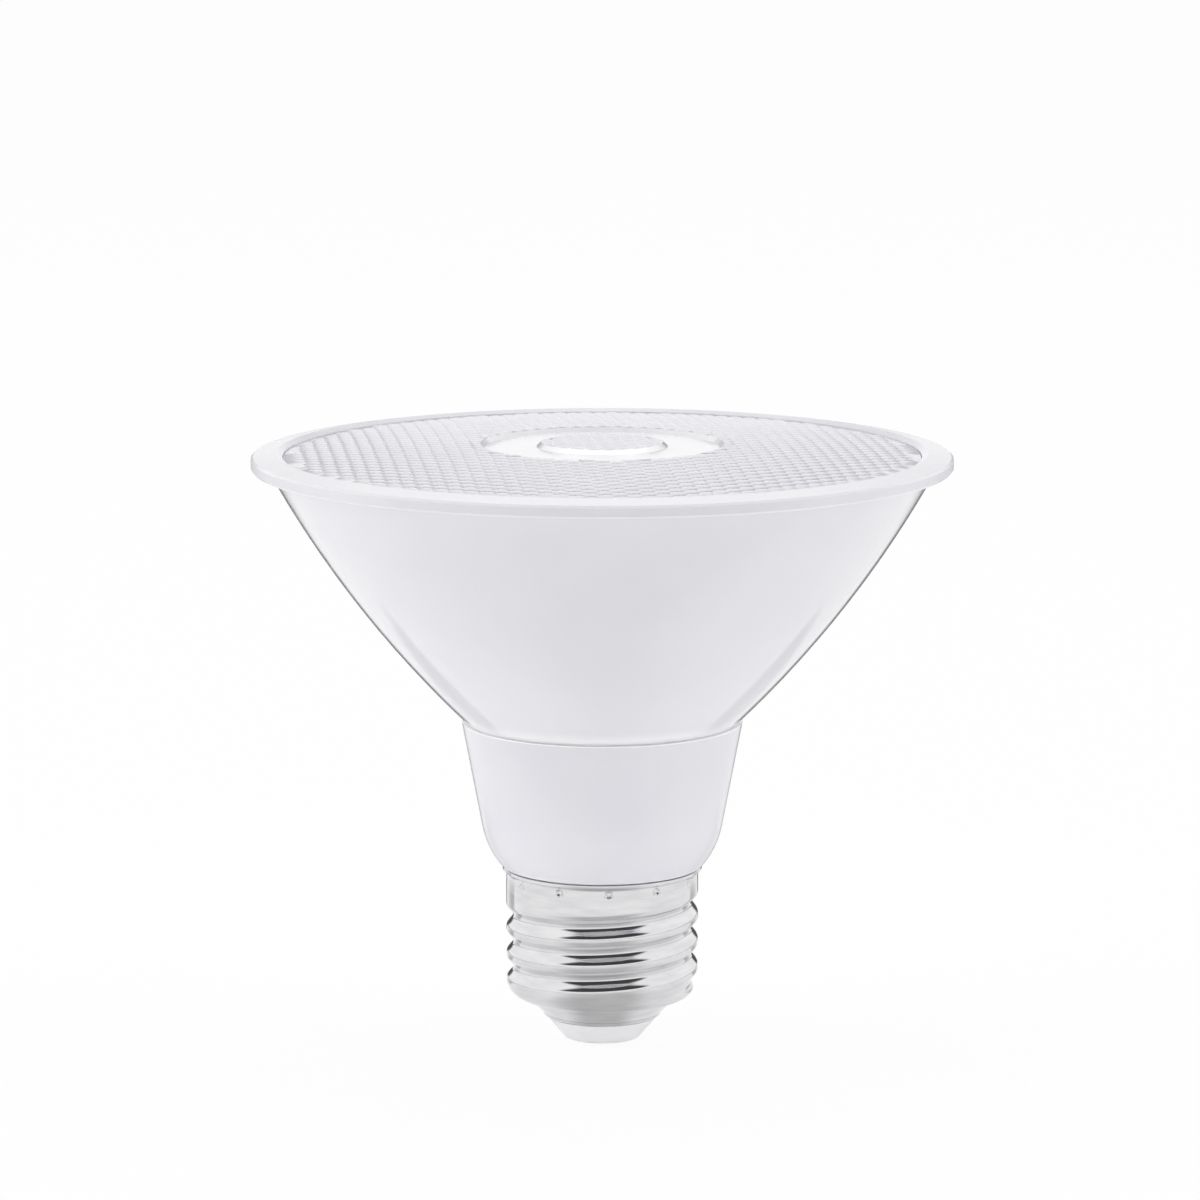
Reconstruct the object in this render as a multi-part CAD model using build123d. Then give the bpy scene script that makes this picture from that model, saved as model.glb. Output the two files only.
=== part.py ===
from build123d import *
import os
from math import asin, atan2, cos, degrees, pi, sin, sqrt

# Par spotlight bulb with a screw base.
# The origin is the tip of the centre contact, and +Z runs up the axis to the lens.
# Driving dimensions, in millimetres and degrees.

# Gaps between pieces that fit one another
snug_gap = 0.1
loose_gap = 0.3
full_turn = 360

# Screw shell, rolled from one sheet
shell_wall = 0.35
shell_top_z = 24.55
shell_lip_flare = 0.5
shell_shoulder_z = 6.2
shell_shoulder_round = 2.4
shoulder_flat_count = 3
shell_step_width = 0.4
shell_mouth_slant = 2.55
shell_mouth_z = 3.6

# Rolled thread of the screw shell
thread_crest_r = 13.1
thread_depth = 0.92
thread_pitch = 3.629
thread_crest_flat = 0.3
thread_turns = 3.0
thread_top_z = 19.3
thread_lead_lift = 1.3
thread_cut_over = 0.06
root_flat_count = 3
crest_flat_count = 1

# Crimp dimples that fix the shell to the neck
crimp_count = 12
crimp_z = 23.0
crimp_turn = 3.95
crimp_r = 0.65
crimp_tip_r = 0.3
crimp_depth = 0.3
crimp_cut_over = 0.1
crimp_sides = 8

# Insulator and centre contact under the shell
insulator_taper = 2.2
insulator_tip_chamfer = 0.35
insulator_skirt_inset = 0.05
insulator_skirt_gap = 0.15
insulator_top_z = 6.0
contact_r = 4.0
contact_rise = 0.45
contact_stem_r = 1.5
contact_peen_r = 2.4
contact_peen_height = 0.7

# Neck collar
collar_top_z = 44.45
collar_top_r = 19.1
collar_waist_z = 30.0
collar_waist_r = 16.35
collar_foot_r = 13.73
collar_wall = 1.5
spigot_band_height = 2.6
spigot_wall = 1.4
spigot_foot_z = 10.5
rail_reach = 3.0
rail_thickness = 1.2
rail_stop_height = 2.0

# Cone housing
cone_neck_r = 18.5
cone_rim_z = 79.18
cone_bulge = 1.65
cone_wall = 1.6
cone_plug_r = 16.6
cone_plug_depth = 6.2
cone_rim_height = 0.92

# Trim ring
ring_outer_r = 47.25
ring_overhang = 2.38
ring_width = 4.25
ring_edge_z = 80.87
ring_crown = 0.5
ring_bevel = 0.8
ring_chamfer = 0.3

# Front lens and the collimator moulded behind it
lens_flange_overlap = 0.6
lens_flange_thickness = 1.4
lens_edge_height = 0.9
lens_rise = 1.8
lens_disc_r = 8.2
lens_moat_r = 16.4
lens_moat_depth = 0.5
optic_foot_r = 8.5
optic_bulge = 0.9
optic_well_r = 6.8
optic_well_height = 5.5
optic_well_crown = 0.9

# Heat sink cup
sink_floor_z = 63.4
sink_floor_thickness = 1.5
sink_wall = 1.2
sink_flange_inset = 0.8
sink_flange_thickness = 1.0

# Light source on its board
led_board_r = 19.0
led_board_thickness = 1.6
led_base_side = 13.5
led_base_thickness = 1.0
led_dam_r = 6.2
led_dam_width = 0.6
led_dam_height = 0.5
led_phosphor_height = 0.4

# Screws that hold the board
screw_count = 3
screw_circle_r = 15.0
screw_shank_r = 1.4
screw_length = 4.8
screw_head_r = 2.4
screw_head_height = 1.7
screw_recess_width = 0.7
screw_recess_length = 2.6
screw_recess_depth = 0.9

# Driver board
board_thickness = 1.6
board_width = 24.6
board_top_z = 58.0
board_stop_z = 30.5
tongue_width = 14.0
tongue_foot_z = 15.5

# Electrolytic capacitors, standing on the driver board
bulk_can_r = 5.0
bulk_can_height = 11.0
bulk_can_x = 0.0
bulk_can_z = 36.5
output_can_r = 3.15
output_can_height = 9.0
output_can_x = 7.6
output_can_z = 50.0
can_groove_height = 1.8
can_groove_depth = 0.4

# Transformer
core_width = 13.0
core_height = 12.0
core_thickness = 5.0
core_limb = 2.0
core_leg = 4.0
winding_thickness = 2.1
transformer_x = -3.4
transformer_z = 49.6

# Film capacitor
film_width = 10.0
film_height = 4.4
film_depth = 8.0
film_round = 0.8
film_x = 1.0
film_z = 42.5

# Bridge rectifier and driver chip, flat packs with leads on two sides
pack_z = 33.5
pack_thickness = 1.6
pack_lead_length = 0.9
pack_lead_thickness = 0.25
bridge_x = -6.2
bridge_width = 4.8
bridge_height = 3.9
bridge_lead_count = 2
bridge_lead_width = 0.7
chip_x = 6.2
chip_width = 3.9
chip_height = 4.9
chip_lead_count = 4
chip_lead_width = 0.45

# Varistor and fuse resistor on the board's tongue
varistor_r = 2.8
varistor_thickness = 2.6
varistor_x = -3.2
varistor_z = 25.0
fuse_r = 1.5
fuse_length = 7.0
fuse_x = 3.4
fuse_z = 24.0

# Wires
wire_r = 0.6
wire_lie_gap = 0.05
wire_top_z = 21.0
neutral_x = 1.7
led_wire_x = 9.5
led_wire_foot_z = 52.0
led_wire_tail = 0.8

# Heights and radii that follow from the driving dimensions.
band_in_r = thread_crest_r - shell_wall
thread_root_r = thread_crest_r - thread_depth
shoulder_centre_r = thread_crest_r - shell_shoulder_round
shoulder_centre_z = shell_shoulder_z + shell_shoulder_round
shell_step_r = shoulder_centre_r - shell_step_width
shell_mouth_r = shell_step_r - shell_mouth_slant
insulator_skirt_r = shell_mouth_r - insulator_skirt_inset
insulator_tip_r = insulator_skirt_r - insulator_taper
shoulder_flat_turn = pi / 2 / shoulder_flat_count
spigot_r = thread_root_r - shell_wall - 2 * snug_gap
spigot_bore_r = spigot_r - spigot_wall
collar_slope = (collar_top_r - collar_waist_r) / (collar_top_z - collar_waist_z)
cone_rim_r = ring_outer_r - ring_overhang
ring_inner_r = ring_outer_r - ring_width
plug_seat_z = collar_top_z - (cone_neck_r - cone_plug_r)
plug_foot_z = plug_seat_z - cone_plug_depth + loose_gap
lens_seat_z = cone_rim_z + cone_rim_height - lens_flange_thickness
lens_flange_r = ring_inner_r + lens_flange_overlap
lens_edge_r = ring_inner_r - snug_gap
sink_flange_r = lens_flange_r - sink_flange_inset
lens_edge_z = lens_seat_z + lens_flange_thickness + lens_edge_height
sink_seat_z = lens_seat_z - sink_flange_thickness
led_board_top_z = sink_floor_z + led_board_thickness
led_base_top_z = led_board_top_z + led_base_thickness
contact_peen_top_z = insulator_top_z + contact_peen_height
board_face_y = wire_r + wire_lie_gap
board_back_y = board_face_y + board_thickness
board_mid_y = board_face_y + board_thickness / 2


def turned(*outline):
    """Solid of revolution about the lamp's axis, drawn as radius across and height up."""
    return revolve(Plane.XZ * make_face(outline), Axis.Z)


def turned_points(*points):
    """Solid of revolution with a straight-sided outline."""
    return turned(Polyline(*points, close=True))


def along_y(x, z, radius, y_from, y_to):
    """Round bar along Y between two depths."""
    bar = Cylinder(radius, y_to - y_from, align=(Align.CENTER, Align.CENTER, Align.MIN))
    return Pos(x, y_from, z) * Rot(X=-full_turn / 4) * bar


def upright(x, y, radius, z_from, z_to):
    """Round bar along Z between two heights."""
    return Pos(x, y, z_from) * Cylinder(radius, z_to - z_from, align=(Align.CENTER, Align.CENTER, Align.MIN))


def block(x_span, y_span, z_span):
    """Box between two limits on each axis."""
    corner = Pos(min(x_span), min(y_span), min(z_span))
    return corner * Box(
        abs(x_span[1] - x_span[0]),
        abs(y_span[1] - y_span[0]),
        abs(z_span[1] - z_span[0]),
        align=(Align.MIN, Align.MIN, Align.MIN),
    )


def mouth_slope():
    """Direction of the shell's bottom cone, from its mouth up to its step."""
    return Vector(shell_step_r - shell_mouth_r, shell_shoulder_z - shell_mouth_z).normalized()


def mouth_cone_r(z, sunk):
    """Radius of the shell's bottom cone at a height, measured that far inside its outer face."""
    slope = mouth_slope()
    return shell_mouth_r + (z - shell_mouth_z) * slope.X / slope.Y - sunk / slope.Y


def shoulder_points(sunk):
    """Outline of the shell's rounded shoulder in a few flats, that far inside its outer face."""
    radius = shell_shoulder_round - sunk
    turns = [shoulder_flat_turn * step for step in range(shoulder_flat_count + 1)]
    return [
        (shoulder_centre_r + radius * sin(turn), shoulder_centre_z - radius * cos(turn))
        for turn in turns
    ]


def can_outside():
    """Shell's outer form before threading, closed to the axis."""
    lip_z = shell_top_z - shell_wall
    return turned_points(
        (0, shell_mouth_z),
        (shell_mouth_r, shell_mouth_z),
        (shell_step_r, shell_shoulder_z),
        *shoulder_points(0),
        (thread_crest_r, lip_z - shell_lip_flare),
        (thread_crest_r + shell_lip_flare, lip_z),
        (thread_crest_r + shell_lip_flare, shell_top_z),
        (0, shell_top_z),
    )


def can_inside():
    """Space inside the shell before threading, open at the top and at the mouth."""
    floor_z = shell_shoulder_z + shell_wall
    edge_z = shell_mouth_z + shell_wall * mouth_slope().X
    edge_r = mouth_cone_r(edge_z, shell_wall)
    return turned_points(
        (0, shell_mouth_z - shell_wall),
        (edge_r, shell_mouth_z - shell_wall),
        (edge_r, edge_z),
        (mouth_cone_r(floor_z, shell_wall), floor_z),
        *shoulder_points(shell_wall),
        (band_in_r, shell_top_z - shell_lip_flare),
        (band_in_r + shell_lip_flare, shell_top_z),
        (band_in_r + shell_lip_flare, shell_top_z + shell_wall),
        (0, shell_top_z + shell_wall),
    )


def groove_path():
    """Helix of the groove's root, with half a turn at each end that climbs out of the sheet.

    Each lead runs on a larger helix whose axis is shifted, so it leaves the main helix in line with it.
    """
    lift = thread_lead_lift / 2
    foot_z = thread_top_z - thread_turns * thread_pitch
    lead = Helix(thread_pitch, thread_pitch / 2, thread_root_r + lift)
    main = Pos(Z=foot_z) * Helix(thread_pitch, thread_pitch * thread_turns, thread_root_r)
    lead_out = Pos(-lift, 0, foot_z - thread_pitch / 2) * Rot(Z=full_turn / 2) * lead
    lead_in = Pos(Z=thread_top_z) * Rot(Z=full_turn * thread_turns) * Pos(X=-lift) * lead
    return Wire([lead_out.edge(), main.edge(), lead_in.edge()])


def groove_section(sunk):
    """Outline of the groove between two crests, radius across from its root and axis up.

    Root and crests are equal arcs that meet in line, each drawn as a few flats.
    The sheet's other face lies that much deeper, so its root arc is larger and its crest arcs are smaller.
    """
    half_width = (thread_pitch - thread_crest_flat) / 2
    depth = thread_depth + thread_cut_over
    arc = (half_width**2 + depth**2) / (4 * depth)
    swing = asin(half_width / (2 * arc))
    root_steps = [swing * (2 * step / root_flat_count - 1) for step in range(root_flat_count + 1)]
    crest_steps = [swing * (1 - step / crest_flat_count) for step in range(1, crest_flat_count + 1)]
    root = [(arc - (arc + sunk) * cos(turn), (arc + sunk) * sin(turn)) for turn in root_steps]
    crest = [
        (depth - arc + (arc - sunk) * cos(turn), half_width - (arc - sunk) * sin(turn))
        for turn in crest_steps
    ]
    far_crest = [(across, -up) for across, up in reversed(crest)]
    outside = depth + thread_depth
    return Polyline(*far_crest, *root, *crest, (outside, half_width), (outside, -half_width), close=True)


def groove(sunk):
    """The groove that is rolled into the sheet, as a solid swept along its path."""
    path = groove_path()
    start = path @ 0
    plane = Plane(origin=start, x_dir=(start.X, start.Y, 0), z_dir=path % 0)
    section = plane * make_face(groove_section(sunk))
    return sweep(section, path=path, is_frenet=True)


def crimp_punches(sunk):
    """Blunt punches round the shell's plain band, pressed that much deeper than its dimples."""
    flank = atan2(crimp_r - crimp_tip_r, crimp_depth)
    tip = Plane.YZ * RegularPolygon(crimp_tip_r, crimp_sides)
    punch = extrude(tip, crimp_depth + crimp_cut_over, taper=-degrees(flank))
    tip_r = thread_crest_r - crimp_depth - sunk
    return Pos(Z=crimp_z) * PolarLocations(tip_r, crimp_count, crimp_turn) * punch


def make_screw_shell():
    """Thin shell with the thread rolled into its wall, inside and out, and a row of crimp dimples."""
    hollow = can_inside() - groove(shell_wall)
    hollow -= crimp_punches(shell_wall)
    shell = can_outside() - hollow
    shell -= groove(0)
    return shell - crimp_punches(0)


def make_base_insulator():
    """Moulded insulator that fills the shell's mouth and carries the contact."""
    skirt_z = shell_mouth_z - insulator_skirt_gap
    sunk = shell_wall + snug_gap
    edge_z = shell_mouth_z + sunk * mouth_slope().X
    bore_r = contact_stem_r + snug_gap / 2
    return turned_points(
        (bore_r, contact_rise),
        (insulator_tip_r - insulator_tip_chamfer, contact_rise),
        (insulator_tip_r, contact_rise + insulator_tip_chamfer),
        (insulator_skirt_r, skirt_z),
        (mouth_cone_r(edge_z, sunk), skirt_z),
        (mouth_cone_r(edge_z, sunk), edge_z),
        (mouth_cone_r(insulator_top_z, sunk), insulator_top_z),
        (bore_r, insulator_top_z),
    )


def make_centre_contact():
    """Domed button with a stem that is peened over on top of the insulator."""
    return turned(
        RadiusArc((0, 0), (contact_r, contact_rise), -cap_radius(contact_r, contact_rise)),
        Polyline(
            (contact_r, contact_rise),
            (contact_stem_r, contact_rise),
            (contact_stem_r, insulator_top_z),
            (contact_peen_r, insulator_top_z),
            (contact_stem_r, contact_peen_top_z),
            (0, contact_peen_top_z),
            (0, 0),
        ),
    )


def collar_cavity_r(z):
    """Radius of the collar's inner wall, which tapers with the outside."""
    return collar_waist_r - collar_wall + collar_slope * (z - collar_waist_z)


def board_rails():
    """Rails inside the collar that hold the driver board's edges, and the stops that it stands on."""
    inner_x = board_width / 2 - rail_reach / 2
    outer_x = collar_top_r
    near_y = board_thickness / 2 + snug_gap
    far_y = near_y + rail_thickness
    stop = block((inner_x, outer_x), (-far_y, far_y), (board_stop_z - rail_stop_height, board_stop_z))
    rail = block((inner_x, outer_x), (near_y, far_y), (board_stop_z, plug_foot_z - loose_gap))
    side = stop + rail + mirror(rail, Plane.XZ)
    rails = Pos(Y=board_mid_y) * (side + mirror(side, Plane.YZ))
    middle = collar_wall / 2
    low_z = board_stop_z - rail_stop_height
    limit = turned_points(
        (0, low_z),
        (collar_cavity_r(low_z) + middle, low_z),
        (collar_cavity_r(plug_foot_z) + middle, plug_foot_z),
        (0, plug_foot_z),
    )
    return rails & limit


def make_neck_collar():
    """Tapered neck with a rounded foot, a mouth for the cone's plug and a grooved spigot for the shell."""
    band_r = band_in_r - snug_gap
    band_z = shell_top_z - spigot_band_height
    bore_top_z = collar_waist_z - (collar_waist_r - collar_wall - spigot_bore_r)
    mouth_r = cone_plug_r + snug_gap
    collar = turned(
        Line((collar_waist_r, collar_waist_z), (collar_top_r, collar_top_z)),
        Polyline(
            (collar_top_r, collar_top_z),
            (cone_neck_r, collar_top_z),
            (mouth_r, plug_seat_z + snug_gap),
            (mouth_r, plug_foot_z - loose_gap),
            (collar_cavity_r(plug_foot_z - loose_gap), plug_foot_z - loose_gap),
            (collar_waist_r - collar_wall, collar_waist_z),
            (spigot_bore_r, bore_top_z),
            (spigot_bore_r, spigot_foot_z),
            (spigot_r, spigot_foot_z),
            (spigot_r, band_z),
            (band_r, band_z),
            (band_r, crimp_z - crimp_r - snug_gap),
            (band_r - crimp_depth, crimp_z - crimp_tip_r - snug_gap),
            (band_r - crimp_depth, crimp_z + crimp_tip_r + snug_gap),
            (band_r, crimp_z + crimp_r + snug_gap),
            (band_r, shell_top_z),
            (collar_foot_r, shell_top_z),
        ),
        TangentArc(
            (collar_waist_r, collar_waist_z),
            (collar_foot_r, shell_top_z),
            tangent=(-collar_slope, -1),
        ),
    )
    return collar + board_rails()


def cone_outwards():
    """Direction square to the cone's outline, away from the axis."""
    along = Vector(cone_rim_r - cone_neck_r, cone_rim_z - collar_top_z).normalized()
    return Vector(along.Y, -along.X)


def cone_inside_middle():
    """Point half way up the cone's inner wall, where its two straight tapers meet."""
    middle = (Vector(cone_neck_r, collar_top_z) + Vector(cone_rim_r, cone_rim_z)) / 2
    return middle + cone_outwards() * (cone_bulge - cone_wall)


def cone_inside_r(z):
    """Radius of the cone's inner wall above its middle, which runs up to the rim's inner edge."""
    middle = cone_inside_middle()
    top = Vector(cone_rim_r, cone_rim_z) - cone_outwards() * cone_wall
    return middle.X + (z - middle.Y) * (top.X - middle.X) / (top.Y - middle.Y)


def make_cone_housing():
    """Flared housing: an arched outside, a plug for the collar and stepped seats for the cup and the lens."""
    middle = cone_inside_middle()
    neck = Vector(cone_neck_r, collar_top_z) - cone_outwards() * cone_wall
    bore_r = cone_plug_r - spigot_wall
    bore_top_z = neck.Y - (neck.X - bore_r) * (middle.Y - neck.Y) / (middle.X - neck.X)
    rim_top_z = cone_rim_z + cone_rim_height
    return turned(
        SagittaArc((cone_neck_r, collar_top_z), (cone_rim_r, cone_rim_z), -cone_bulge),
        Polyline(
            (cone_rim_r, cone_rim_z),
            (cone_rim_r, rim_top_z),
            (lens_flange_r + snug_gap, rim_top_z),
            (lens_flange_r + snug_gap, lens_seat_z),
            (sink_flange_r + snug_gap, lens_seat_z),
            (sink_flange_r + snug_gap, sink_seat_z),
            (cone_inside_r(sink_seat_z), sink_seat_z),
            (middle.X, middle.Y),
            (bore_r, bore_top_z),
            (bore_r, plug_foot_z),
            (cone_plug_r, plug_foot_z),
            (cone_plug_r, plug_seat_z),
            (cone_neck_r, collar_top_z),
        ),
    )


def make_trim_ring():
    """Ring that caps the housing's rim and holds the lens by its edge."""
    skirt_r = cone_rim_r + snug_gap
    plate_z = cone_rim_z + cone_rim_height
    crown_z = ring_edge_z + ring_crown
    return turned_points(
        (skirt_r, cone_rim_z),
        (ring_outer_r - ring_chamfer, cone_rim_z),
        (ring_outer_r, cone_rim_z + ring_chamfer),
        (ring_outer_r, ring_edge_z - ring_chamfer),
        (ring_outer_r - ring_chamfer, ring_edge_z),
        (ring_inner_r + ring_bevel, crown_z),
        (ring_inner_r, crown_z - ring_bevel / 2),
        (ring_inner_r, plate_z),
        (skirt_r, plate_z),
    )


def cap_radius(rim_r, rise):
    """Radius of the sphere whose cap has this rim and rise."""
    return (rim_r**2 + rise**2) / (2 * rise)


def lens_dome_z(radius):
    """Height of the lens's domed face at a radius."""
    dome_r = cap_radius(lens_edge_r, lens_rise)
    return lens_edge_z + lens_rise - dome_r + sqrt(dome_r**2 - radius**2)


def lens_dome(r_from, r_to):
    """Stretch of the lens's domed face between two radii."""
    ends = (r_from, lens_dome_z(r_from)), (r_to, lens_dome_z(r_to))
    return RadiusArc(*ends, cap_radius(lens_edge_r, lens_rise))


def make_front_lens():
    """Domed lens with a sunken ring round its middle disc, and a collimator over the light source."""
    flange_top_z = lens_seat_z + lens_flange_thickness
    optic_foot_z = led_base_top_z + loose_gap
    well_z = optic_foot_z + optic_well_height
    crown_z = well_z - optic_well_crown
    moat_in_z = lens_dome_z(lens_disc_r) - lens_moat_depth
    moat_out_z = lens_dome_z(lens_moat_r) - lens_moat_depth
    return turned(
        lens_dome(0, lens_disc_r),
        Polyline(
            (lens_disc_r, lens_dome_z(lens_disc_r)),
            (lens_disc_r, moat_in_z),
            (lens_moat_r, moat_out_z),
            (lens_moat_r, lens_dome_z(lens_moat_r)),
        ),
        lens_dome(lens_moat_r, lens_edge_r),
        Polyline(
            (lens_edge_r, lens_edge_z),
            (lens_edge_r, flange_top_z),
            (lens_flange_r, flange_top_z),
            (lens_flange_r, lens_seat_z),
            (lens_moat_r, lens_seat_z),
        ),
        SagittaArc((lens_moat_r, lens_seat_z), (optic_foot_r, optic_foot_z), -optic_bulge),
        Polyline((optic_foot_r, optic_foot_z), (optic_well_r, optic_foot_z), (optic_well_r, well_z)),
        RadiusArc((optic_well_r, well_z), (0, crown_z), cap_radius(optic_well_r, optic_well_crown)),
        Line((0, crown_z), (0, lens_dome_z(0))),
    )


def screw_holes(radius, z_from, z_to):
    """Bars on the board screws' circle."""
    middle = upright(0, 0, radius, z_from, z_to)
    return PolarLocations(screw_circle_r, screw_count, full_turn / 4) * middle


def led_wires(radius, z_from, z_to):
    """Bars where the two wires to the light source run."""
    return upright(led_wire_x, 0, radius, z_from, z_to) + upright(-led_wire_x, 0, radius, z_from, z_to)


def make_heat_sink_cup():
    """Thin metal cup that lines the cone, with a flange under the lens and a floor for the light source."""
    floor_under_z = sink_floor_z - sink_floor_thickness
    flange_top_z = sink_seat_z + sink_flange_thickness
    wall_out_r = cone_inside_r(floor_under_z) - snug_gap
    top_out_r = cone_inside_r(sink_seat_z) - snug_gap
    cup = turned_points(
        (0, floor_under_z),
        (wall_out_r, floor_under_z),
        (top_out_r, sink_seat_z),
        (sink_flange_r, sink_seat_z),
        (sink_flange_r, flange_top_z),
        (top_out_r - sink_wall, flange_top_z),
        (cone_inside_r(sink_floor_z) - snug_gap - sink_wall, sink_floor_z),
        (0, sink_floor_z),
    )
    cup -= screw_holes(screw_shank_r + snug_gap / 2, floor_under_z, sink_floor_z)
    return cup - led_wires(2 * wire_r, floor_under_z, sink_floor_z)


def make_led_board():
    """Round metal-cored board."""
    board = upright(0, 0, led_board_r, sink_floor_z, led_board_top_z)
    board -= screw_holes(screw_shank_r + snug_gap, sink_floor_z, led_board_top_z)
    return board - led_wires(wire_r + snug_gap, sink_floor_z, led_board_top_z)


def make_led_package():
    """Square base of the light source with a round dam on it."""
    half = led_base_side / 2
    base = block((-half, half), (-half, half), (led_board_top_z, led_base_top_z))
    dam_top_z = led_base_top_z + led_dam_height
    dam = upright(0, 0, led_dam_r, led_base_top_z, dam_top_z)
    return base + (dam - upright(0, 0, led_dam_r - led_dam_width, led_base_top_z, dam_top_z))


def make_led_phosphor():
    """Light-giving disc inside the dam."""
    radius = led_dam_r - led_dam_width - wire_lie_gap
    return upright(0, 0, radius, led_base_top_z, led_base_top_z + led_phosphor_height)


def make_board_screws():
    """Pan-head screws with a cross recess, all in one group."""
    head_top_z = led_board_top_z + screw_head_height
    half_width = screw_recess_width / 2
    half_length = screw_recess_length / 2
    recess_z = (head_top_z - screw_recess_depth, head_top_z)
    slot = block((-half_length, half_length), (-half_width, half_width), recess_z)
    screw = upright(0, 0, screw_shank_r, led_board_top_z - screw_length, led_board_top_z)
    screw += upright(0, 0, screw_head_r, led_board_top_z, head_top_z)
    screw -= slot + Rot(Z=full_turn / 4) * slot
    return Compound([place * screw for place in PolarLocations(screw_circle_r, screw_count, full_turn / 4)])


def make_driver_board():
    """Upright board, with shoulders that stand on the collar's stops and a tongue down into the base."""
    half = board_width / 2
    tongue_half = tongue_width / 2
    board = block((-half, half), (board_face_y, board_back_y), (board_stop_z, board_top_z))
    tongue = block((-tongue_half, tongue_half), (board_face_y, board_back_y), (tongue_foot_z, board_stop_z))
    return board + tongue


def electrolytic(x, z, radius, height):
    """Capacitor can standing on the board's back, with the groove that seals its foot."""
    groove_y = board_back_y + can_groove_height
    can = along_y(x, z, radius, board_back_y, board_back_y + height)
    ring = along_y(x, z, radius, groove_y, groove_y + can_groove_depth)
    ring -= along_y(x, z, radius - can_groove_depth, groove_y, groove_y + can_groove_depth)
    return can - ring


def make_bulk_capacitor():
    """Large smoothing capacitor."""
    return electrolytic(bulk_can_x, bulk_can_z, bulk_can_r, bulk_can_height)


def make_output_capacitor():
    """Small capacitor across the light source."""
    return electrolytic(output_can_x, output_can_z, output_can_r, output_can_height)


def transformer_place():
    """Middle of the transformer, whose winding stands on the board's back."""
    depth = core_thickness / 2 + snug_gap + winding_thickness
    return Pos(transformer_x, board_back_y + depth, transformer_z)


def make_transformer_core():
    """Ferrite core of two facing halves, with a middle leg and a window each side of it."""
    outer_x = core_width / 2
    window_x = (core_leg / 2, outer_x - core_limb)
    window_z = core_height / 2 - core_limb
    depth = (-core_thickness / 2, core_thickness / 2)
    core = block((-outer_x, outer_x), depth, (-core_height / 2, core_height / 2))
    window = block(window_x, depth, (-window_z, window_z))
    return transformer_place() * (core - window - mirror(window, Plane.YZ))


def make_transformer_winding():
    """Winding round the core's middle leg."""
    height = core_height / 2 - core_limb - snug_gap
    hole_x = core_leg / 2 + snug_gap
    hole_y = core_thickness / 2 + snug_gap
    across = hole_x + winding_thickness
    depth = hole_y + winding_thickness
    winding = block((-across, across), (-depth, depth), (-height, height))
    winding = fillet(winding.edges().filter_by(Axis.Z), winding_thickness / 2)
    winding -= block((-hole_x, hole_x), (-hole_y, hole_y), (-height, height))
    return transformer_place() * winding


def make_film_capacitor():
    """Dipped box capacitor on the board's face."""
    half_width = film_width / 2
    half_height = film_height / 2
    body = block(
        (film_x - half_width, film_x + half_width),
        (board_face_y - film_depth, board_face_y),
        (film_z - half_height, film_z + half_height),
    )
    return fillet(body.edges().filter_by(Axis.Y), film_round)


def flat_pack(x, width, height, lead_count, lead_width):
    """Flat chip body on the board's face, with a row of leads on each side."""
    half_width = width / 2
    half_height = height / 2
    body = block((-half_width, half_width), (-pack_thickness, 0), (-half_height, half_height))
    lead_pitch = height / lead_count
    reach = half_width + pack_lead_length
    for lead in range(lead_count):
        middle_z = lead_pitch * (lead + 1 / 2) - half_height
        lead_z = (middle_z - lead_width / 2, middle_z + lead_width / 2)
        body += block((-reach, reach), (-pack_lead_thickness, 0), lead_z)
    return Pos(x, board_face_y, pack_z) * body


def make_bridge_rectifier():
    """Bridge rectifier."""
    return flat_pack(bridge_x, bridge_width, bridge_height, bridge_lead_count, bridge_lead_width)


def make_driver_chip():
    """Chip that drives the transformer."""
    return flat_pack(chip_x, chip_width, chip_height, chip_lead_count, chip_lead_width)


def make_varistor():
    """Dipped disc that lies on the board's face."""
    return along_y(varistor_x, varistor_z, varistor_r, board_face_y - varistor_thickness, board_face_y)


def make_fuse_resistor():
    """Fusible resistor lying along the tongue's back."""
    body_y = board_back_y + wire_lie_gap + fuse_r
    return upright(fuse_x, body_y, fuse_r, fuse_z - fuse_length / 2, fuse_z + fuse_length / 2)


def make_live_lead():
    """Wire from the board's tongue straight down the axis to the contact."""
    return upright(0, 0, wire_r, contact_peen_top_z, wire_top_z)


def make_neutral_lead():
    """Wire from the board's tongue slanting down past the spigot's foot, square onto the shell's shoulder."""
    reach = (shell_shoulder_round - shell_wall) * cos(shoulder_flat_turn / 2) - wire_lie_gap
    length = (shoulder_centre_r - neutral_x) / cos(pi / 4)
    aim = Pos(-shoulder_centre_r, 0, shoulder_centre_z) * Rot(Y=-3 / 8 * full_turn)
    return aim * upright(0, 0, wire_r, -length, reach)


def make_led_lead(side):
    """Wire lying on the driver board and up through the cup's floor to the light source's board."""
    return upright(side * led_wire_x, 0, wire_r, led_wire_foot_z, led_board_top_z + led_wire_tail)


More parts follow.
